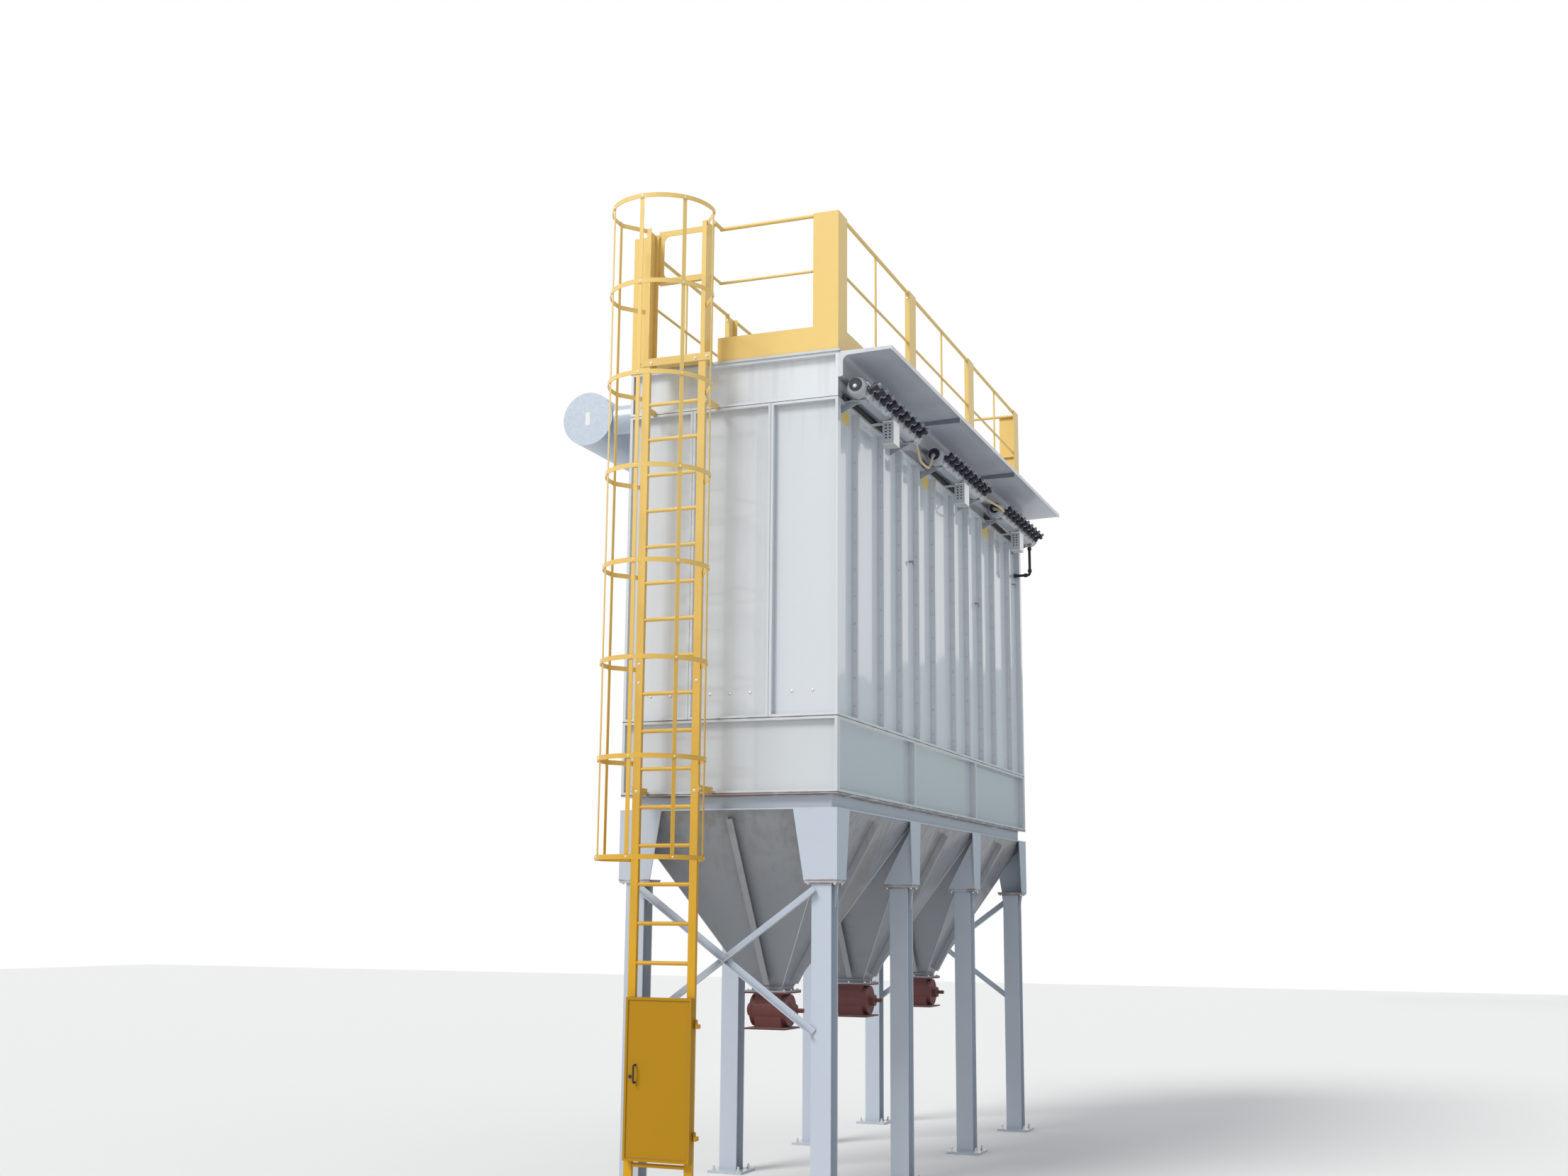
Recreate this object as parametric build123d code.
from build123d import *
from math import cos, hypot, radians, sin, sqrt, tan
import os

# Cartridge dust filter on legs: three bays under one clean air header, pyramid hoppers,
# a side canopy over the pulse air manifolds, a guarded roof and a caged ladder.
# Millimetres. X to the right, Y to the back, Z up. The origin is the setting-out point:
# the underside of the front right base plate, on the column's centre line.

# How near two sizes count as the same place
NEAR = 1.0

# Casing
WIDTH = 1735.0
BAYS = 3
PAN_NARROW = 490.0
PAN_WIDE = 640.0
SIDE_PANS = 11
PAN_DEPTH = 50.0
PAN_LIP = 22.0
CORNER_WALL = 14.0
FRONT_MID_PAN = 650.0
SEAM = 3.0
SEAM_DEPTH = 9.0
MAIN_H = 2415.0
LOWER_H = 555.0
HEADER_H = 352.0

# Roof deck and its lift-off covers
DECK_T = 20.0
DECK_LEDGE = 14.0
DECK_EDGE = 3.0
COVER_H = 70.0
COVER_SIDE_GAP = 260.0
COVER_END_GAP = 190.0
COVER_CURB = 30.0
COVER_OVERLAP = 25.0
COVER_EDGE = 12.0

# Ring channel under the casing
RING_H = 120.0
RING_FLANGE = 75.0
RING_WALL = 10.0

# Leg brackets, columns and base plates
BRACKET_H = 514.0
BRACKET_T = 8.0
BRACKET_TOP_X = 340.0
BRACKET_FOOT_X = 255.0
BRACKET_TOP_Y = 280.0
BRACKET_FOOT_Y = 200.0
BRACKET_FLANK_TOP = 10.0
LEG_H = 2324.0
CAP_T = 16.0
CAP_INSET = 5.0
GUSSET_H = 170.0
GUSSET_T = 10.0
GUSSET_OUT = 30.0
GUSSET_TOE = 4.0
COLUMN = 150.0
COLUMN_WEB = 8.0
COLUMN_FLANGE = 11.0
BASE_PLATE = 300.0
BASE_PLATE_T = 20.0
ANCHOR_PITCH = 220.0
ANCHOR_R = 11.0

# End frame braces
BRACE_LEG = 50.0
BRACE_T = 6.0
BRACE_TOP_DROP = 40.0
BRACE_RISE = 1000.0

# Hoppers
HOPPER_INSET = 20.0
OUTLET_Z = 1500.0
OUTLET = 250.0
OUTLET_NECK = 40.0
OUTLET_FLANGE = 340.0
OUTLET_FLANGE_T = 12.0
HOPPER_WALL = 5.0
STIFFENER = 50.0
STIFFENER_T = 6.0
STIFFENER_END = 50.0

# Discharge valves
VALVE_H = 280.0
VALVE_BODY_R = 118.0
VALVE_BODY_L = 300.0
VALVE_COVER_R = 122.0
VALVE_COVER_T = 16.0
VALVE_NECK = 216.0
BEARING_R = 48.0
BEARING_L = 46.0
SHAFT_R = 17.0
SHAFT_L = 60.0

# Canopy
CANOPY_OUT = 427.0
CANOPY_DROP = 198.0
CANOPY_LEG_T = 38.0
CANOPY_ROOT_T = 36.0
CANOPY_TIP_T = 24.0
CANOPY_TOE_R = 14.0
CANOPY_RETURN = 34.0
CANOPY_RETURN_T = 8.0
CANOPY_BELOW_ROOF = 24.0
CANOPY_CORNER_R = 48.0
CANOPY_RIB = 26.0
CANOPY_RIB_T = 22.0

# Pulse air manifolds
TUBE_R = 80.0
TUBE_L = 1530.0
TUBE_OUT = 121.0
TUBE_BELOW_ROOF = 297.0
TUBE_FROM_FRONT = 48.0
TUBE_HEAD = 44.0
PLUG_R = 17.0
PLUG_OUT = 9.0
VALVES_PER_TUBE = 9
VALVE_PITCH = 160.0
VALVE_FIRST = 76.0
PULSE_ROUND = 107.0
PULSE_OFF = 5.0
PULSE_TILT = 66.0
PULSE_SINK = 40.0
PULSE_NECK_R = 21.0
PULSE_NECK_L = 38.0
PULSE_FLANGE_R = 34.0
PULSE_FLANGE_L = 26.0
PULSE_WAIST_R = 20.0
PULSE_WAIST_L = 30.0
PULSE_BONNET_R = 33.0
PULSE_BONNET_L = 28.0
COIL_R = 14.0
COIL_L = 26.0
PULSE_SEAT_GAP = 0.2
BRACKET_PLATE_T = 6.0
SADDLE_W = 90.0
SADDLE_PAST_TUBE = 49.0
PILOT_BOX_W = 150.0
PILOT_BOX_DEEP = 96.0
PILOT_BOX_H = 190.0
PILOT_BOX_OUT = 205.0
PILOT_BOX_FROM_FRONT = 745.0
PILOT_BOX_GAP = 0.3
PILOT_BOX_EDGE = 4.0
PILOT_ARM_W = 60.0
PILOT_ARM_T = 5.0
CONDUIT_R = 16.0
LINE_IN = 40.0
DRAIN_R = 14.0
DRAIN_DROP = 300.0
DRAIN_CLEAR = 20.0
HOSE_R = 11.0
HOSE_SLOPES = (50.0, 25.0)
HOSE_RUNS = (150.0, 60.0)
HOSE_ARC = 0.45
HOSE_TILTS = (0.0, 62.0)
TAIL_R = 15.0
TAIL_L = 24.0
TAIL_TURNED = 26.0

# Clean air duct and dusty air inlet on the left side
DUCT_R = 225.0
DUCT_OUT = 630.0
DUCT_BELOW_ROOF = 190.0
DUCT_FRONT_SETBACK = 470.0
DUCT_REAR_OUT = 220.0
DUCT_WALL = 4.0
DUCT_FLANGE = 35.0
DUCT_FLANGE_T = 8.0
BRANCH_R = 118.0
BRANCH_GAP = 0.3
BRANCH_FROM_FRONT = 600.0
INLET_R = 400.0
INLET_BELOW_ROOF = 1150.0
INLET_L = 260.0
INLET_WALL = 5.0
INLET_FLANGE = 45.0
INLET_FLANGE_T = 10.0
INLET_COLLAR = 60.0
INLET_PANEL = 40.0

# Roof guard rails
RAIL_TOP_H = 1100.0
RAIL_MID_H = 650.0
TOP_RAIL_R = 15.0
MID_RAIL_R = 11.0
BALUSTER_R = 9.0
RETURN_LAP = 40.0
RAIL_GAP = 0.2
POST_H = 1115.0
CORNER_POST = 205.0
POST_T = 5.0
SIDE_POST_W = 190.0
SIDE_POST_D = 40.0
KICK_H = 195.0
KICK_T = 6.0

# Ladder, cage, door and gate
LADDER_FROM_LEFT = 485.0
LADDER_OUT = 233.0
STRINGER_PITCH = 470.0
STRINGER_W = 60.0
STRINGER_D = 35.0
RUNG_R = 15.0
RUNG_PITCH = 280.0
RUNG_COUNT = 21
RUNG_TOP_BELOW_ROOF = 368.0
LADDER_TOP_BELOW_ROOF = 40.0
THRESHOLD_H = 60.0
THRESHOLD_PAST = 43.0
THRESHOLD_T = 6.0
EXIT_POST_W = 36.0
EXIT_POST_D = 150.0
EXIT_POST_IN = 10.0
EXIT_POST_T = 5.0
EXIT_POST_H = 1075.0
CAGE_R = 398.0
CAGE_OUT = 239.0
HOOP_W = 34.0
HOOP_T = 6.0
HOOP_BEND = 100.0
HOOP_FOOT = 10.0
HOOP_COUNT = 8
HOOP_PITCH = 703.0
HOOP_TOP_PITCH = 672.0
HOOP_TOP_H = 1060.0
STRAP_W = 30.0
STRAP_T = 5.0
STRAP_ANGLES = (-96.0, -48.0, 0.0, 48.0, 96.0)
STANDOFF_H = 50.0
STANDOFF_T = 8.0
DOOR_W = 515.0
DOOR_SHIFT = 16.0
DOOR_H = 1125.0
DOOR_LOW_Z = 367.0
DOOR_DEPTH = 65.0
DOOR_T = 4.0
DOOR_GAP = 6.0
HINGE_R = 11.0
HINGE_L = 60.0
HINGE_PIN_R = 5.0
HINGE_PIN_OUT = 6.0
HINGE_CLEAR = 0.05
HINGE_IN = 180.0
HINGE_SEAT = 0.3
HINGE_LEAF_T = 6.0
HINGE_SIDE = 5.0
DOOR_SINK = 8.0
DOOR_RIM = 18.0
HANDLE_IN = 85.0
HANDLE_SHARE = 0.53
HANDLE_L = 120.0
HANDLE_OUT = 38.0
HANDLE_R = 7.0
GATE_H = 440.0
GATE_LOW_H = 665.0
GATE_T = 6.0
GATE_FOLD = 30.0
GATE_WINDOW_EDGE = 45.0
GATE_WINDOW_R = 48.0
GATE_HINGE_IN = 90.0
GATE_END_GAP = 8.0

# Levels
Z_BRACKET = LEG_H
Z_RING = Z_BRACKET + BRACKET_H
Z_LOWER = Z_RING + RING_H
Z_MAIN = Z_LOWER + LOWER_H
Z_HEADER = Z_MAIN + MAIN_H
Z_DECK = Z_HEADER + HEADER_H
Z_ROOF = Z_DECK + DECK_T

# Plan
side_pans = [PAN_WIDE if i % 4 == 1 else PAN_NARROW for i in range(SIDE_PANS)]
LENGTH = sum(side_pans)
BAY = LENGTH / BAYS
X_R = BRACKET_FOOT_X / 2
X_L = X_R - WIDTH
X_C = (X_R + X_L) / 2
Y_F = -BRACKET_FOOT_Y / 2
Y_B = Y_F + LENGTH
OUTER_PAN = (WIDTH - FRONT_MID_PAN) / 2
TUBE_X = X_R + TUBE_OUT
TUBE_Z = Z_ROOF - TUBE_BELOW_ROOF
DUCT_X = X_L - DUCT_OUT
DUCT_Z = Z_ROOF - DUCT_BELOW_ROOF
INLET_Z = Z_ROOF - INLET_BELOW_ROOF
LADDER_X = X_L + LADDER_FROM_LEFT
LADDER_Y = Y_F - LADDER_OUT
STRINGER_TOP = Z_ROOF - LADDER_TOP_BELOW_ROOF
HALF_CHORD = STRINGER_PITCH / 2 + STRINGER_W / 2
CAGE_Y = LADDER_Y - CAGE_OUT
HOOP_TOP_Z = Z_ROOF + HOOP_TOP_H
HOOP_LOW_Z = HOOP_TOP_Z - HOOP_TOP_PITCH - HOOP_PITCH * (HOOP_COUNT - 2)
HOOP_LEVELS = [HOOP_LOW_Z + HOOP_PITCH * i for i in range(HOOP_COUNT - 1)] + [HOOP_TOP_Z]
EXIT_OUTER = HALF_CHORD - EXIT_POST_IN
EXIT_HALF = EXIT_OUTER - EXIT_POST_W
EXIT_BACK = LADDER_Y - STRINGER_D / 2 + EXIT_POST_D
DOOR_BACK = LADDER_Y - STRINGER_D / 2 - DOOR_GAP
DOOR_X = LADDER_X + DOOR_SHIFT
DOOR_HINGE_X = DOOR_X + DOOR_W / 2 + HINGE_SIDE + HINGE_R
DOOR_HINGE_Y = LADDER_Y - STRINGER_D / 2 - HINGE_R - HINGE_SIDE
GATE_HINGE_X = LADDER_X - EXIT_HALF - EXIT_POST_W / 2
GATE_HINGE_Y = EXIT_BACK + HINGE_R + HINGE_SIDE
BAY_CENTRES = [Y_F + BAY * (i + 0.5) for i in range(BAYS)]
BAY_JOINTS = [Y_F + BAY * i for i in range(1, BAYS)]
TUBE_STARTS = [Y_F + TUBE_FROM_FRONT + sum(side_pans[:4 * i]) for i in range(BAYS)]


def block(x0, x1, y0, y1, z0, z1):
    """A box between two corners."""
    return Pos((x0 + x1) / 2, (y0 + y1) / 2, (z0 + z1) / 2) * Box(
        abs(x1 - x0), abs(y1 - y0), abs(z1 - z0))


def rod(start, end, radius):
    """A round bar from one point to another."""
    run = Vector(*end) - Vector(*start)
    plane = Plane(origin=start, z_dir=run)
    return extrude(plane * Circle(radius), run.length)


def edges_of(start, widths):
    """Start and end of each width laid out from start."""
    spans = []
    for width in widths:
        spans.append((start, start + width))
        start += width
    return spans


def add(pieces):
    """One compound of separate pieces."""
    return Compound(children=list(pieces))


def pan_floor(low, high, ends, side):
    """Where a pan's floor starts and ends. A side face keeps a wall at its two corners."""
    lip_low = PAN_DEPTH + CORNER_WALL if side and low == ends[0] else PAN_LIP
    lip_high = PAN_DEPTH + CORNER_WALL if side and abs(high - ends[1]) < NEAR else PAN_LIP
    return low + lip_low, high - lip_high


def pan_cuts(face, spans, z0, z1):
    """The pans sunk in one face of the casing, and the joint lines between them."""
    cuts = []
    side = face in ("left", "right")
    ends = (Y_F, Y_B) if side else (X_L, X_R)
    for low, high in spans:
        zone = (*pan_floor(low, high, ends, side), z0 + PAN_LIP, z1 - PAN_LIP)
        cuts.append(face_block(face, zone, PAN_DEPTH))
        if abs(high - ends[1]) > NEAR:
            seam = (high - SEAM / 2, high + SEAM / 2, z0, z1)
            cuts.append(face_block(face, seam, SEAM_DEPTH))
    return cuts


def face_block(face, zone, depth):
    """A block sunk into a casing face over a zone of it."""
    low, high, z0, z1 = zone
    if face == "right":
        return block(X_R - depth, X_R, low, high, z0, z1)
    if face == "left":
        return block(X_L, X_L + depth, low, high, z0, z1)
    if face == "front":
        return block(low, high, Y_F, Y_F + depth, z0, z1)
    return block(low, high, Y_B - depth, Y_B, z0, z1)


def casing(z0, z1, end_pans, right_pans, left_pans):
    """One storey of the casing with its folded pans."""
    body = block(X_L, X_R, Y_F, Y_B, z0, z1)
    cuts = []
    for face in ("front", "back"):
        cuts += pan_cuts(face, edges_of(X_L, end_pans), z0, z1)
    if right_pans:
        cuts += pan_cuts("right", edges_of(Y_F, right_pans), z0, z1)
    cuts += pan_cuts("left", edges_of(Y_F, left_pans), z0, z1)
    return body - cuts


def filter_casing():
    """The cartridge housing, with a flat panel on the left side that carries the inlet."""
    ends = [OUTER_PAN, FRONT_MID_PAN, OUTER_PAN]
    half = INLET_R + INLET_COLLAR + INLET_PANEL
    panel = block(X_L, X_L + PAN_DEPTH, BAY_CENTRES[0] - half, BAY_CENTRES[0] + half,
                  INLET_Z - half, INLET_Z + half)
    return casing(Z_MAIN, Z_HEADER, ends, side_pans, side_pans) + panel


def lower_casing():
    """The plain band below the pans, one wide pan for each bay."""
    return casing(Z_LOWER, Z_MAIN, [WIDTH], [BAY] * BAYS, [BAY] * BAYS)


def header_casing():
    """The clean air header under the roof. Its right side is flat behind the manifolds."""
    return casing(Z_HEADER, Z_DECK, [WIDTH], [], [BAY] * BAYS)


def roof_deck():
    """The roof plate with its folded edge."""
    ledge = DECK_LEDGE
    deck = block(X_L - ledge, X_R + ledge, Y_F - ledge, Y_B + ledge, Z_DECK, Z_ROOF)
    return chamfer(deck.edges().group_by(Axis.Z)[-1], DECK_EDGE)


def roof_covers():
    """One lift-off cover with overhanging sides on a curb for each bay."""
    covers = []
    for middle in BAY_CENTRES:
        half_x = WIDTH / 2 - COVER_SIDE_GAP
        half_y = BAY / 2 - COVER_END_GAP
        curb = block(X_C - half_x, X_C + half_x, middle - half_y, middle + half_y,
                     Z_ROOF, Z_ROOF + COVER_CURB)
        out = COVER_OVERLAP
        lid = block(X_C - half_x - out, X_C + half_x + out, middle - half_y - out,
                    middle + half_y + out, Z_ROOF + COVER_CURB, Z_ROOF + COVER_H)
        lid = chamfer(lid.edges().group_by(Axis.Z)[-1], COVER_EDGE)
        covers.append(curb + lid)
    return add(covers)


def ring_channel():
    """The channel ring that the casing stands on, with a cross channel at each bay joint."""
    outer = block(X_L, X_R, Y_F, Y_B, Z_RING, Z_LOWER)
    inner = block(X_L + RING_FLANGE, X_R - RING_FLANGE, Y_F + RING_FLANGE, Y_B - RING_FLANGE,
                  Z_RING, Z_LOWER)
    back = RING_FLANGE - RING_WALL
    groove = block(X_L, X_R, Y_F, Y_B, Z_RING + RING_WALL, Z_LOWER - RING_WALL)
    groove -= block(X_L + back, X_R - back, Y_F + back, Y_B - back, Z_RING, Z_LOWER)
    ring = outer - inner - groove
    for joint in BAY_JOINTS:
        ring += block(X_L + back, X_R - back, joint - back / 2, joint + back / 2, Z_RING, Z_LOWER)
    return ring


def corner_bracket(sx, sy):
    """Two tapered plates folded round a corner of the ring, over a cap plate."""
    x = X_R if sx > 0 else X_L
    y = Y_F if sy < 0 else Y_B
    end_face = Polyline((0, 0), (BRACKET_FOOT_X, 0), (BRACKET_TOP_X, BRACKET_H),
                        (0, BRACKET_H), close=True)
    side_face = Polyline((0, 0), (BRACKET_FOOT_Y, 0), (BRACKET_TOP_Y, BRACKET_H),
                         (0, BRACKET_H), close=True)
    end_sketch = Plane(origin=(x, y, Z_BRACKET), x_dir=(-sx, 0, 0),
                       z_dir=(0, sx, 0)) * make_face(end_face)
    side_sketch = Plane(origin=(x, y, Z_BRACKET), x_dir=(0, -sy, 0),
                        z_dir=(-sy, 0, 0)) * make_face(side_face)
    end_plate = extrude(end_sketch, BRACKET_T, dir=(0, -sy, 0))
    side_plate = extrude(side_sketch, BRACKET_T, dir=(-sx, 0, 0))
    sole = block(x, x - sx * BRACKET_FOOT_X, y, y - sy * BRACKET_FOOT_Y,
                 Z_BRACKET, Z_BRACKET + BRACKET_T)
    return end_plate + side_plate + sole


def middle_bracket(sx, joint):
    """A tapered plate on the side at a bay joint, with two returns cut to the hopper slope."""
    x = X_R if sx > 0 else X_L
    half_top = BRACKET_TOP_Y / 2
    half_foot = BRACKET_FOOT_Y / 2
    outline = Polyline((-half_foot, 0), (half_foot, 0), (half_top, BRACKET_H),
                       (-half_top, BRACKET_H), close=True)
    sketch = Plane(origin=(x, joint, Z_BRACKET), x_dir=(0, 1, 0),
                   z_dir=(1, 0, 0)) * make_face(outline)
    bracket = extrude(sketch, BRACKET_T, dir=(-sx, 0, 0))
    bracket += block(x, x - sx * BRACKET_FOOT_X, joint - half_foot, joint + half_foot,
                     Z_BRACKET, Z_BRACKET + BRACKET_T)
    for side in (-1, 1):
        y = joint + side * (half_foot - BRACKET_T)
        flank = Polyline((0, 0), (BRACKET_FOOT_X, 0),
                         (BRACKET_FLANK_TOP, BRACKET_H - STIFFENER),
                         (0, BRACKET_H - STIFFENER), close=True)
        sheet = Plane(origin=(x, y, Z_BRACKET), x_dir=(-sx, 0, 0),
                      z_dir=(0, sx, 0)) * make_face(flank)
        bracket += extrude(sheet, BRACKET_T, dir=(0, side, 0))
    return bracket


def leg_points():
    """Centre line of every column."""
    rows = [0.0] + BAY_JOINTS + [Y_F + Y_B]
    return [(x, y) for x in (0.0, X_L + X_R) for y in rows]


def leg_brackets():
    """The eight brackets that carry the ring on the columns."""
    pieces = []
    for sx in (-1, 1):
        for sy in (-1, 1):
            pieces.append(corner_bracket(sx, sy))
        for joint in BAY_JOINTS:
            pieces.append(middle_bracket(sx, joint))
    return add(pieces)


def leg_caps():
    """A cap plate on each column with fins that taper down to the flanges."""
    caps = []
    half = COLUMN / 2
    low = Z_BRACKET - CAP_T
    half_x = BRACKET_FOOT_X / 2 - CAP_INSET
    half_y = BRACKET_FOOT_Y / 2 - CAP_INSET
    for x, y in leg_points():
        cap = block(x - half_x, x + half_x, y - half_y, y + half_y, low, Z_BRACKET)
        for side in (-1, 1):
            inner = side * half
            outer = side * (half + GUSSET_OUT)
            toe = inner + side * GUSSET_TOE
            fin = Polyline((inner, 0), (outer, 0), (toe, -GUSSET_H), (inner, -GUSSET_H),
                           close=True)
            sheet = Plane(origin=(x, y, low), x_dir=(1, 0, 0), z_dir=(0, -1, 0)) * make_face(fin)
            cap += extrude(sheet, GUSSET_T / 2, both=True)
        caps.append(cap)
    return add(caps)


def column_section():
    """The H section of a column, flanges to the front and back."""
    half = COLUMN / 2
    face = Rectangle(COLUMN, COLUMN)
    gap = COLUMN - 2 * COLUMN_FLANGE
    reach = (COLUMN - COLUMN_WEB) / 2
    for side in (-1, 1):
        face -= Pos(side * (half - reach / 2), 0) * Rectangle(reach, gap)
    return face


def legs():
    """Eight H section columns between base plates and cap plates."""
    height = Z_BRACKET - CAP_T - BASE_PLATE_T
    columns = []
    for x, y in leg_points():
        columns.append(extrude(Pos(x, y, BASE_PLATE_T) * column_section(), height))
    return add(columns)


def base_plates():
    """Base plates, each drilled for four anchors."""
    plates = []
    for x, y in leg_points():
        half = BASE_PLATE / 2
        plate = block(x - half, x + half, y - half, y + half, 0, BASE_PLATE_T)
        holes = [Pos(x + sx * ANCHOR_PITCH / 2, y + sy * ANCHOR_PITCH / 2, BASE_PLATE_T / 2)
                 * Cylinder(ANCHOR_R, BASE_PLATE_T) for sx in (-1, 1) for sy in (-1, 1)]
        plates.append(plate - holes)
    return add(plates)


def angle_bar(start, end, y, inward):
    """An equal angle between two points of an end frame, its flat leg in the plane y."""
    run = Vector(end[0] - start[0], 0, end[1] - start[1])
    along = run.normalized()
    across = Vector(-along.Z, 0, along.X)
    plane = Plane(origin=(start[0], y, start[1]), x_dir=across, z_dir=along)
    depth = 1 if plane.y_dir.Y * inward > 0 else -1
    half = BRACE_LEG / 2
    flat = Pos(0, depth * BRACE_T / 2) * Rectangle(BRACE_LEG, BRACE_T)
    lip = Pos(-half + BRACE_T / 2, depth * BRACE_LEG / 2) * Rectangle(BRACE_T, BRACE_LEG)
    return extrude(plane * (flat + lip), run.length)


def end_braces():
    """The crossed angles of both end frames."""
    return add(crossed_angles(-1) + crossed_angles(1))


def crossed_angles(sy):
    """Two crossed angles between the two columns of one end."""
    middle = Y_F + Y_B if sy > 0 else 0.0
    face = middle + sy * COLUMN / 2
    left = X_L + X_R + COLUMN / 2
    right = -COLUMN / 2
    top = Z_BRACKET - CAP_T - BRACE_TOP_DROP
    low = top - BRACE_RISE
    lap = BRACE_LEG / 2
    outer = face + sy * BRACE_T
    return [angle_bar((left - lap, top), (right + lap, low), outer, sy),
            angle_bar((left - lap, low), (right + lap, top), face, sy)]


def hopper(middle):
    """A hollow pyramid from the ring down to a flanged outlet."""
    half_x = WIDTH / 2 - HOPPER_INSET
    half_y = BAY / 2 - HOPPER_INSET
    low = OUTLET_Z + OUTLET_NECK
    outside = frustum(middle, half_x, half_y, Z_RING, OUTLET / 2, low)
    inside = frustum(middle, half_x - HOPPER_WALL, half_y - HOPPER_WALL, Z_RING,
                     OUTLET / 2 - HOPPER_WALL, low)
    half = OUTLET / 2
    edge = OUTLET_FLANGE / 2
    neck = block(X_C - half, X_C + half, middle - half, middle + half, OUTLET_Z, low)
    flange = block(X_C - edge, X_C + edge, middle - edge, middle + edge,
                   OUTLET_Z, OUTLET_Z + OUTLET_FLANGE_T)
    bore = half - HOPPER_WALL
    hole = block(X_C - bore, X_C + bore, middle - bore, middle + bore, OUTLET_Z, low)
    return outside + neck + flange - inside - hole


def frustum(middle, top_x, top_y, z_top, low_half, z_low):
    """A four sided taper between two rectangles."""
    upper = Pos(X_C, middle, z_top) * Rectangle(2 * top_x, 2 * top_y)
    lower = Pos(X_C, middle, z_low) * Rectangle(2 * low_half, 2 * low_half)
    return loft([lower, upper])


def hopper_stiffeners():
    """An angle down the middle of each sloping hopper wall."""
    bars = []
    rise = Z_RING - OUTLET_Z - OUTLET_NECK
    for middle in BAY_CENTRES:
        for turn, half in ((0, BAY / 2), (90, WIDTH / 2), (180, BAY / 2), (270, WIDTH / 2)):
            run = half - HOPPER_INSET - OUTLET / 2
            length = hypot(run, rise)
            lean = Location((0, 0, 0), (0, 0, 1), turn)
            plane = Plane(origin=(0, -OUTLET / 2, 0), x_dir=(1, 0, 0), z_dir=(0, -run, rise))
            out = Pos(0, -STIFFENER / 2) * Rectangle(STIFFENER_T, STIFFENER)
            flat = Pos(STIFFENER / 2 - STIFFENER_T / 2, -STIFFENER + STIFFENER_T / 2) * Rectangle(
                STIFFENER, STIFFENER_T)
            bar = extrude(plane * (out + flat), length - 2 * STIFFENER_END)
            along = Vector(0, -run, rise).normalized() * STIFFENER_END
            place = Pos(X_C, middle, OUTLET_Z + OUTLET_NECK)
            bars.append(place * (lean * (Pos(along.X, along.Y, along.Z) * bar)))
    return add(bars)


def discharge_valves():
    """The rotary valve under each hopper."""
    return add(discharge_valve(middle) for middle in BAY_CENTRES)


def discharge_valve(middle):
    """A flanged rotary valve: round body, end covers, bearings and shaft ends."""
    top = OUTLET_Z
    low = OUTLET_Z - VALVE_H
    edge = OUTLET_FLANGE / 2
    neck = VALVE_NECK / 2
    axis_z = (top + low) / 2
    turn = Rot(0, 90, 0)
    body = Pos(X_C, middle, axis_z) * turn * Cylinder(VALVE_BODY_R, VALVE_BODY_L)
    body += block(X_C - neck, X_C + neck, middle - neck, middle + neck, low, top)
    body += block(X_C - edge, X_C + edge, middle - edge, middle + edge,
                  top - OUTLET_FLANGE_T, top)
    body += block(X_C - edge, X_C + edge, middle - edge, middle + edge,
                  low, low + OUTLET_FLANGE_T)
    for side in (-1, 1):
        x = X_C + side * (VALVE_BODY_L / 2 - VALVE_COVER_T / 2)
        body += Pos(x, middle, axis_z) * turn * Cylinder(VALVE_COVER_R, VALVE_COVER_T)
        x = X_C + side * (VALVE_BODY_L / 2 + BEARING_L / 2)
        body += Pos(x, middle, axis_z) * turn * Cylinder(BEARING_R, BEARING_L)
    x = X_C + VALVE_BODY_L / 2 + BEARING_L + SHAFT_L / 2
    body += Pos(x, middle, axis_z) * turn * Cylinder(SHAFT_R, SHAFT_L)
    return body


def canopy():
    """The folded rain canopy over the manifolds, with two ribs across its underside."""
    top = Z_ROOF - CANOPY_BELOW_ROOF
    low = top - CANOPY_DROP
    under = top - CANOPY_TIP_T
    wall = X_R
    leg = wall + CANOPY_LEG_T
    edge = wall + CANOPY_OUT
    lip = edge - CANOPY_RETURN_T
    outline = Polyline((wall, low), (leg, low), (leg, top - CANOPY_ROOT_T), (lip, under),
                       (lip, top - CANOPY_RETURN), (edge, top - CANOPY_RETURN), (edge, top),
                       (wall, top), close=True)
    face = make_face(outline)
    for place, radius in ((0, CANOPY_TOE_R), (-1, CANOPY_CORNER_R)):
        corners = face.vertices().filter_by_position(Axis.X, leg - NEAR, leg + NEAR)
        face = fillet(corners.sort_by(Axis.Y)[place], radius)
    sheet = Plane(origin=(0, Y_F, 0), x_dir=(1, 0, 0), z_dir=(0, -1, 0)) * face
    hood = extrude(sheet, LENGTH, dir=(0, 1, 0))
    for joint in BAY_JOINTS:
        hood += block(leg, lip, joint - CANOPY_RIB_T / 2, joint + CANOPY_RIB_T / 2,
                      under - CANOPY_RIB, under)
    return hood


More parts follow.
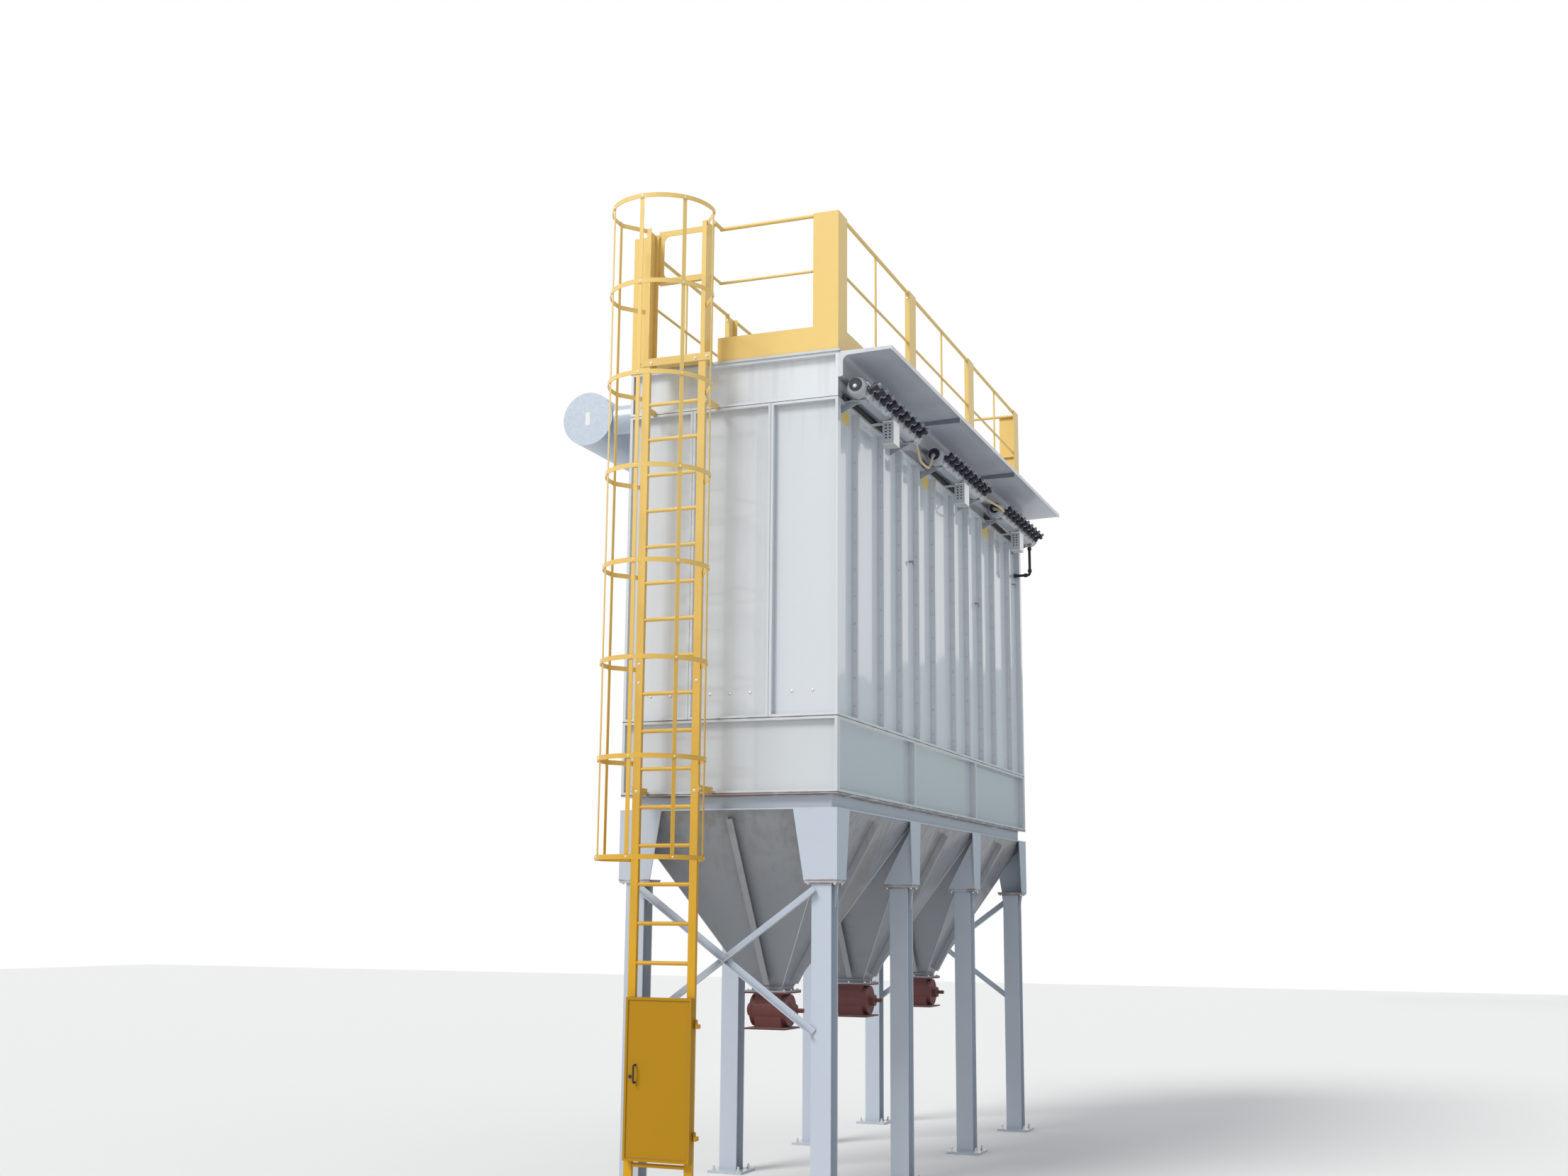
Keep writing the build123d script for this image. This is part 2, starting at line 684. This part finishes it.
def manifold(index):
    """One pulse air tank: a tube with dished ends, a plug in each and its hose elbows."""
    start = TUBE_STARTS[index]
    end = start + TUBE_L
    tank = Pos(TUBE_X, (start + end) / 2, TUBE_Z) * Rot(90, 0, 0) * Cylinder(TUBE_R, TUBE_L)
    rims = tank.edges().filter_by(GeomType.CIRCLE)
    tank = fillet(rims, TUBE_HEAD)
    for y in (start - PLUG_OUT / 2, end + PLUG_OUT / 2):
        tank += Pos(TUBE_X, y, TUBE_Z) * Rot(90, 0, 0) * Cylinder(PLUG_R, PLUG_OUT)
    if index < BAYS - 1:
        tank += hose_elbow(index, 0, 1)
    if index > 0:
        tank += hose_elbow(index - 1, hose_gap(index - 1), -1)
    return tank


def air_manifolds():
    """The three pulse air tanks in line under the canopy."""
    return add(manifold(index) for index in range(BAYS))


def valve_blank():
    """A diaphragm valve turned about its own axis: neck, flange pair, waist, bonnet, coil."""
    steps = ((PULSE_NECK_R, PULSE_NECK_L), (PULSE_FLANGE_R, PULSE_FLANGE_L),
             (PULSE_WAIST_R, PULSE_WAIST_L), (PULSE_BONNET_R, PULSE_BONNET_L),
             (COIL_R, COIL_L))
    level = -PULSE_SINK
    points = [(0, level)]
    for radius, length in steps:
        points += [(radius, level), (radius, level + length)]
        level += length
    points.append((0, level))
    half = Plane.XZ * make_face(Polyline(*points, close=True))
    return revolve(half, Axis.Z)


def pulse_valve(y):
    """One valve on the tank's outer side, leaning up, its foot cut to the tank's round."""
    seat = radians(PULSE_ROUND)
    tilt = radians(PULSE_TILT)
    reach = TUBE_R + PULSE_OFF
    foot = Plane(origin=(TUBE_X + reach * sin(seat), y, TUBE_Z + reach * cos(seat)),
                 x_dir=(0, 1, 0), z_dir=(sin(tilt), 0, cos(tilt)))
    tank = Pos(TUBE_X, y, TUBE_Z) * Rot(90, 0, 0) * Cylinder(TUBE_R + PULSE_SEAT_GAP,
                                                            2 * PULSE_FLANGE_R)
    return foot.location * valve_blank() - tank


def pulse_valves():
    """The row of pulse valves along each tank."""
    return add(pulse_valve(start + VALVE_FIRST + VALVE_PITCH * i)
               for start in TUBE_STARTS for i in range(VALVES_PER_TUBE))


def side_joints():
    """The flush stretches of the right face, beside and between the floors of its pans."""
    floors = [pan_floor(low, high, (Y_F, Y_B), True) for low, high in edges_of(Y_F, side_pans)]
    lows = [Y_F] + [high for low, high in floors]
    highs = [low for low, high in floors] + [Y_B]
    return list(zip(lows, highs))


def manifold_brackets():
    """Two brackets under each tank, their webs notched round the casing's lips."""
    pieces = []
    floor = X_R - PAN_DEPTH
    joints = [block(floor, X_R, low, high, Z_MAIN, Z_HEADER) for low, high in side_joints()]
    low = TUBE_Z - TUBE_R - BRACKET_PLATE_T
    notch = low - Z_HEADER + PAN_LIP + PILOT_BOX_GAP
    for start in TUBE_STARTS:
        for y in (start + SADDLE_W, start + TUBE_L - 2 * SADDLE_W):
            shelf = block(X_R, TUBE_X + SADDLE_PAST_TUBE, y, y + SADDLE_W, low,
                          low + BRACKET_PLATE_T)
            web = make_face(Polyline((PAN_DEPTH, 0), (TUBE_X - floor, 0), (0, -TUBE_R),
                                     (0, -notch), (PAN_DEPTH, -notch), close=True))
            sheet = Plane(origin=(floor, y + SADDLE_W / 2, low), x_dir=(1, 0, 0),
                          z_dir=(0, -1, 0)) * web
            pieces.append(shelf + extrude(sheet, BRACKET_PLATE_T / 2, both=True) - joints)
    return add(pieces)


def pilot_boxes():
    """A pilot valve box under the middle of each tank, hung from an arm on the wall."""
    boxes = []
    outer = X_R + PILOT_BOX_OUT
    top = TUBE_Z - TUBE_R - PILOT_BOX_GAP
    for start in TUBE_STARTS:
        y = start - TUBE_FROM_FRONT + PILOT_BOX_FROM_FRONT
        body = block(outer - PILOT_BOX_DEEP, outer, y, y + PILOT_BOX_W, top - PILOT_BOX_H, top)
        body = fillet(body.edges().filter_by(Axis.Z), PILOT_BOX_EDGE)
        middle = y + PILOT_BOX_W / 2
        arm = block(X_R, outer - PILOT_BOX_DEEP, middle - PILOT_ARM_W / 2,
                    middle + PILOT_ARM_W / 2, top - PILOT_ARM_T, top)
        boxes.append(body + arm)
    return add(boxes)


def clean_air_duct():
    """The header duct along the left side, closed in front and flanged at the rear."""
    front = Y_F + DUCT_FRONT_SETBACK
    rear = Y_B + DUCT_REAR_OUT
    duct = rod((DUCT_X, front, DUCT_Z), (DUCT_X, rear, DUCT_Z), DUCT_R)
    flange = DUCT_R + DUCT_FLANGE
    duct += rod((DUCT_X, rear - DUCT_FLANGE_T, DUCT_Z), (DUCT_X, rear, DUCT_Z), flange)
    bore = DUCT_R - DUCT_WALL
    duct -= rod((DUCT_X, front + DUCT_FLANGE_T, DUCT_Z), (DUCT_X, rear, DUCT_Z), bore)
    return duct


def duct_branches():
    """The branch from the duct into each bay of the header, fitted round the duct."""
    branches = []
    for i in range(BAYS):
        y = Y_F + BRANCH_FROM_FRONT + BAY * i
        branch = rod((DUCT_X, y, DUCT_Z), (X_L + PAN_DEPTH, y, DUCT_Z), BRANCH_R)
        branch -= rod((DUCT_X, y - DUCT_R, DUCT_Z), (DUCT_X, y + DUCT_R, DUCT_Z),
                      DUCT_R + BRANCH_GAP)
        branches.append(branch)
    return add(branches)


def dusty_air_inlet():
    """The flanged round inlet on the left side."""
    y = BAY_CENTRES[0]
    z = INLET_Z
    end = X_L - INLET_L
    pipe = rod((X_L, y, z), (end, y, z), INLET_R)
    pipe += rod((end + INLET_FLANGE_T, y, z), (end, y, z), INLET_R + INLET_FLANGE)
    pipe += rod((X_L, y, z), (X_L - INLET_FLANGE_T, y, z), INLET_R + INLET_COLLAR)
    return pipe - rod((X_L, y, z), (end, y, z), INLET_R - INLET_WALL)


def corner_posts():
    """A folded angle post at each roof corner."""
    posts = []
    top = Z_ROOF + POST_H
    for x, sx in ((X_R, 1), (X_L, -1)):
        for y, sy in ((Y_F, -1), (Y_B, 1)):
            end = block(x, x - sx * CORNER_POST, y, y - sy * POST_T, Z_ROOF, top)
            side = block(x, x - sx * POST_T, y, y - sy * CORNER_POST, Z_ROOF, top)
            posts.append(end + side)
    return add(posts)


def side_posts():
    """A folded channel post at each bay joint on both sides."""
    posts = []
    top = Z_ROOF + POST_H
    half = SIDE_POST_W / 2
    for x, sx in ((X_R, 1), (X_L, -1)):
        for joint in BAY_JOINTS:
            post = block(x, x - sx * POST_T, joint - half, joint + half, Z_ROOF, top)
            for side in (-1, 1):
                edge = joint + side * half
                post += block(x, x - sx * SIDE_POST_D, edge, edge - side * POST_T, Z_ROOF, top)
            posts.append(post)
    return add(posts)


def post_gaps(posts_low, posts_high):
    """The clear stretches between the posts of one side."""
    half = SIDE_POST_W / 2
    lows = [posts_low] + [joint + half for joint in BAY_JOINTS]
    highs = [joint - half for joint in BAY_JOINTS] + [posts_high]
    return list(zip(lows, highs))


def rail_lines(height, radius):
    """One level of rails: bars between the posts, and a return to the ladder exit."""
    z = Z_ROOF + height
    inset = POST_T + TOP_RAIL_R
    bars = []
    for x in (X_R - inset, X_L + inset):
        for low, high in post_gaps(Y_F + POST_T, Y_B - POST_T):
            bars.append(rod((x, low, z), (x, high, z), radius))
    back = Y_B - inset
    front = Y_F + inset
    reach = inset + radius + RAIL_GAP
    exit_x = LADDER_X + EXIT_OUTER + radius
    bars.append(rod((X_L + reach, back, z), (X_R - reach, back, z), radius))
    bars.append(rod((exit_x - radius, front, z), (X_R - reach, front, z), radius))
    bars.append(rod((exit_x, EXIT_BACK - RETURN_LAP, z), (exit_x, front - radius - RAIL_GAP, z),
                    radius))
    return bars


def balusters():
    """Uprights under the side rails at the middle of each bay."""
    inset = POST_T + TOP_RAIL_R
    mid = Z_ROOF + RAIL_MID_H
    bars = []
    for x in (X_R - inset, X_L + inset):
        for y in BAY_CENTRES:
            bars.append(rod((x, y, Z_ROOF), (x, y, mid - MID_RAIL_R), BALUSTER_R))
            bars.append(rod((x, y, mid + MID_RAIL_R), (x, y, Z_ROOF + RAIL_TOP_H - TOP_RAIL_R),
                            BALUSTER_R))
    return add(bars)


def kick_plates():
    """Toe boards between the posts, open at the ladder."""
    top = Z_ROOF + KICK_H
    plates = []
    for x, sx in ((X_R, 1), (X_L, -1)):
        for low, high in post_gaps(Y_F + CORNER_POST, Y_B - CORNER_POST):
            plates.append(block(x, x - sx * KICK_T, low, high, Z_ROOF, top))
    plates.append(block(X_L + CORNER_POST, X_R - CORNER_POST, Y_B - KICK_T, Y_B, Z_ROOF, top))
    plates.append(block(LADDER_X + EXIT_OUTER, X_R - CORNER_POST, Y_F, Y_F + KICK_T,
                        Z_ROOF, top))
    return add(plates)


def ladder():
    """Two stringers and their rungs."""
    frame = None
    for side in (-1, 1):
        x = LADDER_X + side * STRINGER_PITCH / 2
        bar = block(x - STRINGER_W / 2, x + STRINGER_W / 2, LADDER_Y - STRINGER_D / 2,
                    LADDER_Y + STRINGER_D / 2, 0, STRINGER_TOP)
        frame = bar if frame is None else frame + bar
    half = STRINGER_PITCH / 2
    rungs = []
    for i in range(RUNG_COUNT):
        z = Z_ROOF - RUNG_TOP_BELOW_ROOF - RUNG_PITCH * i
        rungs.append(rod((LADDER_X - half, LADDER_Y, z), (LADDER_X + half, LADDER_Y, z), RUNG_R))
    return frame + rungs


def standoffs():
    """Flat stand-offs from the stringers to the casing's flanges."""
    pieces = []
    for z in (Z_LOWER + PAN_LIP, Z_HEADER):
        for side in (-1, 1):
            x = LADDER_X + side * HALF_CHORD
            pieces.append(block(x, x + side * STANDOFF_T, LADDER_Y - STRINGER_D / 2, Y_F,
                                z - STANDOFF_H / 2, z + STANDOFF_H / 2))
    return add(pieces)


def threshold():
    """The folded step between the ladder and the roof edge."""
    front = LADDER_Y - STRINGER_D / 2
    outer = HALF_CHORD + THRESHOLD_PAST
    lip = block(LADDER_X - outer, LADDER_X + outer, front - THRESHOLD_T, front,
                Z_ROOF - THRESHOLD_H, Z_ROOF)
    tread = block(LADDER_X - EXIT_HALF, LADDER_X + EXIT_HALF, front - THRESHOLD_T,
                  Y_F - DECK_LEDGE, Z_ROOF - THRESHOLD_T, Z_ROOF)
    return lip + tread


def exit_posts():
    """Channel posts above the stringers, their flanges turned towards the way through."""
    posts = []
    front = LADDER_Y - STRINGER_D / 2
    top = Z_ROOF + EXIT_POST_H
    for side in (-1, 1):
        inner = LADDER_X + side * EXIT_HALF
        outer = LADDER_X + side * EXIT_OUTER
        thick = EXIT_POST_T
        post = block(outer, outer - side * thick, front, EXIT_BACK, STRINGER_TOP, top)
        post += block(inner, outer, front, front + thick, STRINGER_TOP, top)
        post += block(inner, outer, EXIT_BACK - thick, EXIT_BACK, STRINGER_TOP, top)
        posts.append(post)
    return add(posts)


def hoop(z):
    """One cage hoop: a round front with straight legs bent in to the stringers."""
    outer = CAGE_R + HOOP_T / 2
    inner = CAGE_R - HOOP_T / 2
    bend = radians(HOOP_BEND)
    face = HALF_CHORD if z < STRINGER_TOP else EXIT_OUTER
    reach = 2 * outer
    back = make_face(Polyline((0, 0), (reach * sin(bend), -reach * cos(bend)), (reach, reach),
                              (-reach, reach), (-reach * sin(bend), -reach * cos(bend)),
                              close=True))
    band = Circle(outer) - Circle(inner) - back
    for side in (-1, 1):
        band += make_face(Polyline(
            (side * inner * sin(bend), -inner * cos(bend)),
            (side * outer * sin(bend), -outer * cos(bend)),
            (side * face, CAGE_OUT + HOOP_FOOT / 2), (side * face, CAGE_OUT - HOOP_FOOT / 2),
            close=True))
    return extrude(Pos(LADDER_X, CAGE_Y, z - HOOP_W / 2) * band, HOOP_W)


def cage_hoops(levels):
    """The cage hoops at some levels."""
    return add(hoop(z) for z in levels)


def cage_straps():
    """The upright straps inside the hoops."""
    inner = CAGE_R - HOOP_T / 2
    seat = sqrt(inner ** 2 - (STRAP_W / 2) ** 2)
    low = HOOP_LEVELS[0] - HOOP_W / 2
    top = HOOP_LEVELS[-1] + HOOP_W / 2
    bars = []
    for angle in STRAP_ANGLES:
        bar = block(-STRAP_W / 2, STRAP_W / 2, -seat, -seat + STRAP_T, low, top)
        bars.append(Pos(LADDER_X, CAGE_Y, 0) * Rot(0, 0, angle) * bar)
    return add(bars)


def hinge_levels(low, high, inset):
    """Two hinge levels on a leaf."""
    return (low + inset, high - inset)


def knuckle(x, y, z):
    """The moving half of a lift-off hinge: a barrel over the pin."""
    barrel = Cylinder(HINGE_R, HINGE_L / 2) - Cylinder(HINGE_PIN_R + HINGE_CLEAR, HINGE_L / 2)
    return Pos(x, y, z + HINGE_L / 4) * barrel


def hinge_base(x, y, z, pad):
    """The fixed half of a lift-off hinge: a lower barrel, its pin and a welded pad."""
    base = Pos(x, y, z - HINGE_SEAT - HINGE_L / 4) * Cylinder(HINGE_R, HINGE_L / 2)
    base += pad
    top = z + HINGE_L / 2 + HINGE_PIN_OUT
    return base + rod((x, y, z - HINGE_L / 2), (x, y, top), HINGE_PIN_R)


def ladder_door():
    """The folded guard door over the lower rungs."""
    x0 = DOOR_X - DOOR_W / 2
    x1 = DOOR_X + DOOR_W / 2
    y1 = DOOR_BACK
    y0 = y1 - DOOR_DEPTH
    z1 = DOOR_LOW_Z + DOOR_H
    tray = block(x0, x1, y0, y1, DOOR_LOW_Z, z1)
    tray -= block(x0 + DOOR_T, x1 - DOOR_T, y0 + DOOR_T + DOOR_SINK, y1, DOOR_LOW_Z + DOOR_T,
                  z1 - DOOR_T)
    tray -= block(x0 + DOOR_RIM, x1 - DOOR_RIM, y0, y0 + DOOR_SINK, DOOR_LOW_Z + DOOR_RIM,
                  z1 - DOOR_RIM)
    for z in hinge_levels(DOOR_LOW_Z, z1, HINGE_IN):
        leaf = block(x1, DOOR_HINGE_X, DOOR_HINGE_Y - HINGE_LEAF_T / 2,
                     DOOR_HINGE_Y + HINGE_LEAF_T / 2, z, z + HINGE_L / 2)
        pin = Pos(DOOR_HINGE_X, DOOR_HINGE_Y, z + HINGE_L / 4) * Cylinder(
            HINGE_PIN_R + HINGE_CLEAR, HINGE_L / 2)
        tray += leaf - pin
        tray += knuckle(DOOR_HINGE_X, DOOR_HINGE_Y, z)
    return tray


def door_handle():
    """The grip on the guard door."""
    x = DOOR_X - DOOR_W / 2 + HANDLE_IN
    face = DOOR_BACK - DOOR_DEPTH + DOOR_SINK
    z = DOOR_LOW_Z + DOOR_H * HANDLE_SHARE
    half = HANDLE_L / 2
    path = FilletPolyline((x, face, z - half), (x, face - HANDLE_OUT, z - half),
                          (x, face - HANDLE_OUT, z + half), (x, face, z + half),
                          radius=HANDLE_R * 2)
    return sweep(Plane(origin=path @ 0, z_dir=path % 0) * Circle(HANDLE_R), path)


def fixed_hinges():
    """The fixed halves of the hinges of the guard door and of the gate."""
    return add(door_hinges() + gate_hinges())


def door_hinges():
    """The guard door's fixed halves, welded beside the right stringer."""
    outer = LADDER_X + HALF_CHORD
    pieces = []
    for z in hinge_levels(DOOR_LOW_Z, DOOR_LOW_Z + DOOR_H, HINGE_IN):
        low = z - HINGE_SEAT - HINGE_L / 2
        high = z - HINGE_SEAT
        pad = block(outer, DOOR_HINGE_X + HINGE_R, LADDER_Y - STRINGER_D / 2,
                    LADDER_Y + STRINGER_D / 2, low, high)
        pad += block(DOOR_HINGE_X, DOOR_HINGE_X + HINGE_R, DOOR_HINGE_Y,
                     LADDER_Y - STRINGER_D / 2, low, high)
        pieces.append(hinge_base(DOOR_HINGE_X, DOOR_HINGE_Y, z, pad))
    return pieces


def safety_gate():
    """The self-closing gate: a folded plate with a round-cornered window."""
    x1 = LADDER_X + EXIT_OUTER - GATE_END_GAP
    z0 = Z_ROOF + GATE_LOW_H
    z1 = z0 + GATE_H
    half = GATE_T / 2
    plate = block(GATE_HINGE_X + HINGE_R, x1, GATE_HINGE_Y - half, GATE_HINGE_Y + half, z0, z1)
    middle = (GATE_HINGE_X + HINGE_R + x1) / 2
    wide = x1 - GATE_HINGE_X - HINGE_R - 2 * GATE_WINDOW_EDGE
    high = GATE_H - 2 * GATE_WINDOW_EDGE
    window = Plane(origin=(middle, GATE_HINGE_Y - GATE_T, (z0 + z1) / 2), x_dir=(1, 0, 0),
                   z_dir=(0, 1, 0)) * RectangleRounded(wide, high, GATE_WINDOW_R)
    gate = plate - extrude(window, 2 * GATE_T)
    back = GATE_HINGE_Y + half
    for z in (z0, z1 - GATE_T):
        gate += block(GATE_HINGE_X + HINGE_R, x1, back, back + GATE_FOLD, z, z + GATE_T)
    for z in hinge_levels(z0, z1, GATE_HINGE_IN):
        gate += block(GATE_HINGE_X, GATE_HINGE_X + HINGE_R, GATE_HINGE_Y - half,
                      GATE_HINGE_Y + half, z, z + HINGE_L / 2) - Pos(
            GATE_HINGE_X, GATE_HINGE_Y, z + HINGE_L / 4) * Cylinder(
            HINGE_PIN_R + HINGE_CLEAR, HINGE_L / 2)
        gate += knuckle(GATE_HINGE_X, GATE_HINGE_Y, z)
    return gate


def gate_hinges():
    """The gate's fixed halves on the back of the left exit post."""
    z0 = Z_ROOF + GATE_LOW_H
    pieces = []
    for z in hinge_levels(z0, z0 + GATE_H, GATE_HINGE_IN):
        low = z - HINGE_SEAT - HINGE_L / 2
        pad = block(GATE_HINGE_X - HINGE_R, GATE_HINGE_X + HINGE_R, EXIT_BACK,
                    GATE_HINGE_Y, low, z - HINGE_SEAT)
        pieces.append(hinge_base(GATE_HINGE_X, GATE_HINGE_Y, z, pad))
    return pieces


def pilot_lines():
    """The dark pilot air and cable line behind each tank, on its brackets."""
    x = X_R + CONDUIT_R
    z = TUBE_Z - TUBE_R + CONDUIT_R + PILOT_BOX_GAP
    return add(rod((x, start + LINE_IN, z), (x, start + TUBE_L - LINE_IN, z), CONDUIT_R)
               for start in TUBE_STARTS)


def drain_pipe():
    """The drain from the last tank, down and into the wall."""
    end = TUBE_STARTS[-1] + TUBE_L - TUBE_HEAD - DRAIN_R
    y = min(end, Y_B - PAN_DEPTH - CORNER_WALL - DRAIN_R - DRAIN_CLEAR)
    top = TUBE_Z - TUBE_R
    path = FilletPolyline((TUBE_X, y, top), (TUBE_X, y, top - DRAIN_DROP),
                          (X_R - PAN_DEPTH, y, top - DRAIN_DROP), radius=DRAIN_R * 2)
    return sweep(Plane(origin=path @ 0, z_dir=path % 0) * Circle(DRAIN_R), path)


def hose_point(index, along, out):
    """A point of a link hose: along from the first tank's end, out from the tanks' axis."""
    tilt = radians(HOSE_TILTS[index])
    y = TUBE_STARTS[index] + TUBE_L + along
    return (TUBE_X + out * sin(tilt), y, TUBE_Z - out * cos(tilt))


def hose_gap(index):
    """The distance between the facing ends of two tanks."""
    return TUBE_STARTS[index + 1] - TUBE_STARTS[index] - TUBE_L


def hose_fall():
    """Half of a link hose's route as (along, out), from the elbow's mouth to its low run."""
    slope = radians(HOSE_SLOPES[0])
    along = TAIL_L + TAIL_TURNED * cos(slope)
    out = TAIL_TURNED * sin(slope)
    route = [(along, out)]
    for angle, run in zip(HOSE_SLOPES, HOSE_RUNS):
        along += run * cos(radians(angle))
        out += run * sin(radians(angle))
        route.append((along, out))
    return route


def hose_elbow(index, end, side):
    """The elbow that a link hose leaves a tank's end by."""
    corner = hose_point(index, end + side * TAIL_L, 0)
    along, out = hose_fall()[0]
    elbow = rod(hose_point(index, end - side * TUBE_HEAD, 0), corner, TAIL_R)
    elbow += Pos(*corner) * Sphere(TAIL_R)
    return elbow + rod(corner, hose_point(index, end + side * along, out), TAIL_R)


def link_hose(index):
    """The hose that sags between the facing ends of two tanks."""
    fall = hose_fall()
    gap = hose_gap(index)
    route = fall + [(gap - along, out) for along, out in reversed(fall)]
    points = [Vector(*hose_point(index, *place)) for place in route]
    radii = []
    for before, here, after in zip(points, points[1:], points[2:]):
        turn = radians((here - before).get_angle(after - here))
        shorter = min((here - before).length, (after - here).length)
        radii.append(HOSE_ARC * shorter / tan(turn / 2))
    print("link hose", index + 1, "radii", [round(radius) for radius in radii])
    path = FilletPolyline(*points, radius=radii)
    print("length", round(path.length))
    return sweep(Plane(origin=path @ 0, z_dir=path % 0) * Circle(HOSE_R), path)


NODES = {
    "filter_casing": filter_casing,
    "lower_casing": lower_casing,
    "header_casing": header_casing,
    "roof_deck": roof_deck,
    "roof_covers": roof_covers,
    "ring_channel": ring_channel,
    "leg_brackets": leg_brackets,
    "leg_caps": leg_caps,
    "legs": legs,
    "base_plates": base_plates,
    "end_braces": end_braces,
    "hopper_front": lambda: hopper(BAY_CENTRES[0]),
    "hopper_middle": lambda: hopper(BAY_CENTRES[1]),
    "hopper_rear": lambda: hopper(BAY_CENTRES[2]),
    "hopper_stiffeners": hopper_stiffeners,
    "discharge_valves": discharge_valves,
    "canopy": canopy,
    "air_manifolds": air_manifolds,
    "pulse_valves": pulse_valves,
    "manifold_brackets": manifold_brackets,
    "pilot_boxes": pilot_boxes,
    "pilot_lines": pilot_lines,
    "drain_pipe": drain_pipe,
    "link_hose_front": lambda: link_hose(0),
    "link_hose_rear": lambda: link_hose(1),
    "clean_air_duct": clean_air_duct,
    "duct_branches": duct_branches,
    "dusty_air_inlet": dusty_air_inlet,
    "corner_posts": corner_posts,
    "side_posts": side_posts,
    "top_rails": lambda: add(rail_lines(RAIL_TOP_H, TOP_RAIL_R)),
    "mid_rails": lambda: add(rail_lines(RAIL_MID_H, MID_RAIL_R)),
    "balusters": balusters,
    "kick_plates": kick_plates,
    "ladder": ladder,
    "ladder_standoffs": standoffs,
    "ladder_threshold": threshold,
    "exit_posts": exit_posts,
    "cage_hoops_lower": lambda: cage_hoops(HOOP_LEVELS[:HOOP_COUNT // 2]),
    "cage_hoops_upper": lambda: cage_hoops(HOOP_LEVELS[HOOP_COUNT // 2:]),
    "cage_straps": cage_straps,
    "ladder_door": ladder_door,
    "door_handle": door_handle,
    "safety_gate": safety_gate,
    "fixed_hinges": fixed_hinges,
}


def main():
    """Write every node."""
    os.makedirs("parts", exist_ok=True)
    for name, make in NODES.items():
        export_step(make(), "parts/" + name + ".step")


main()
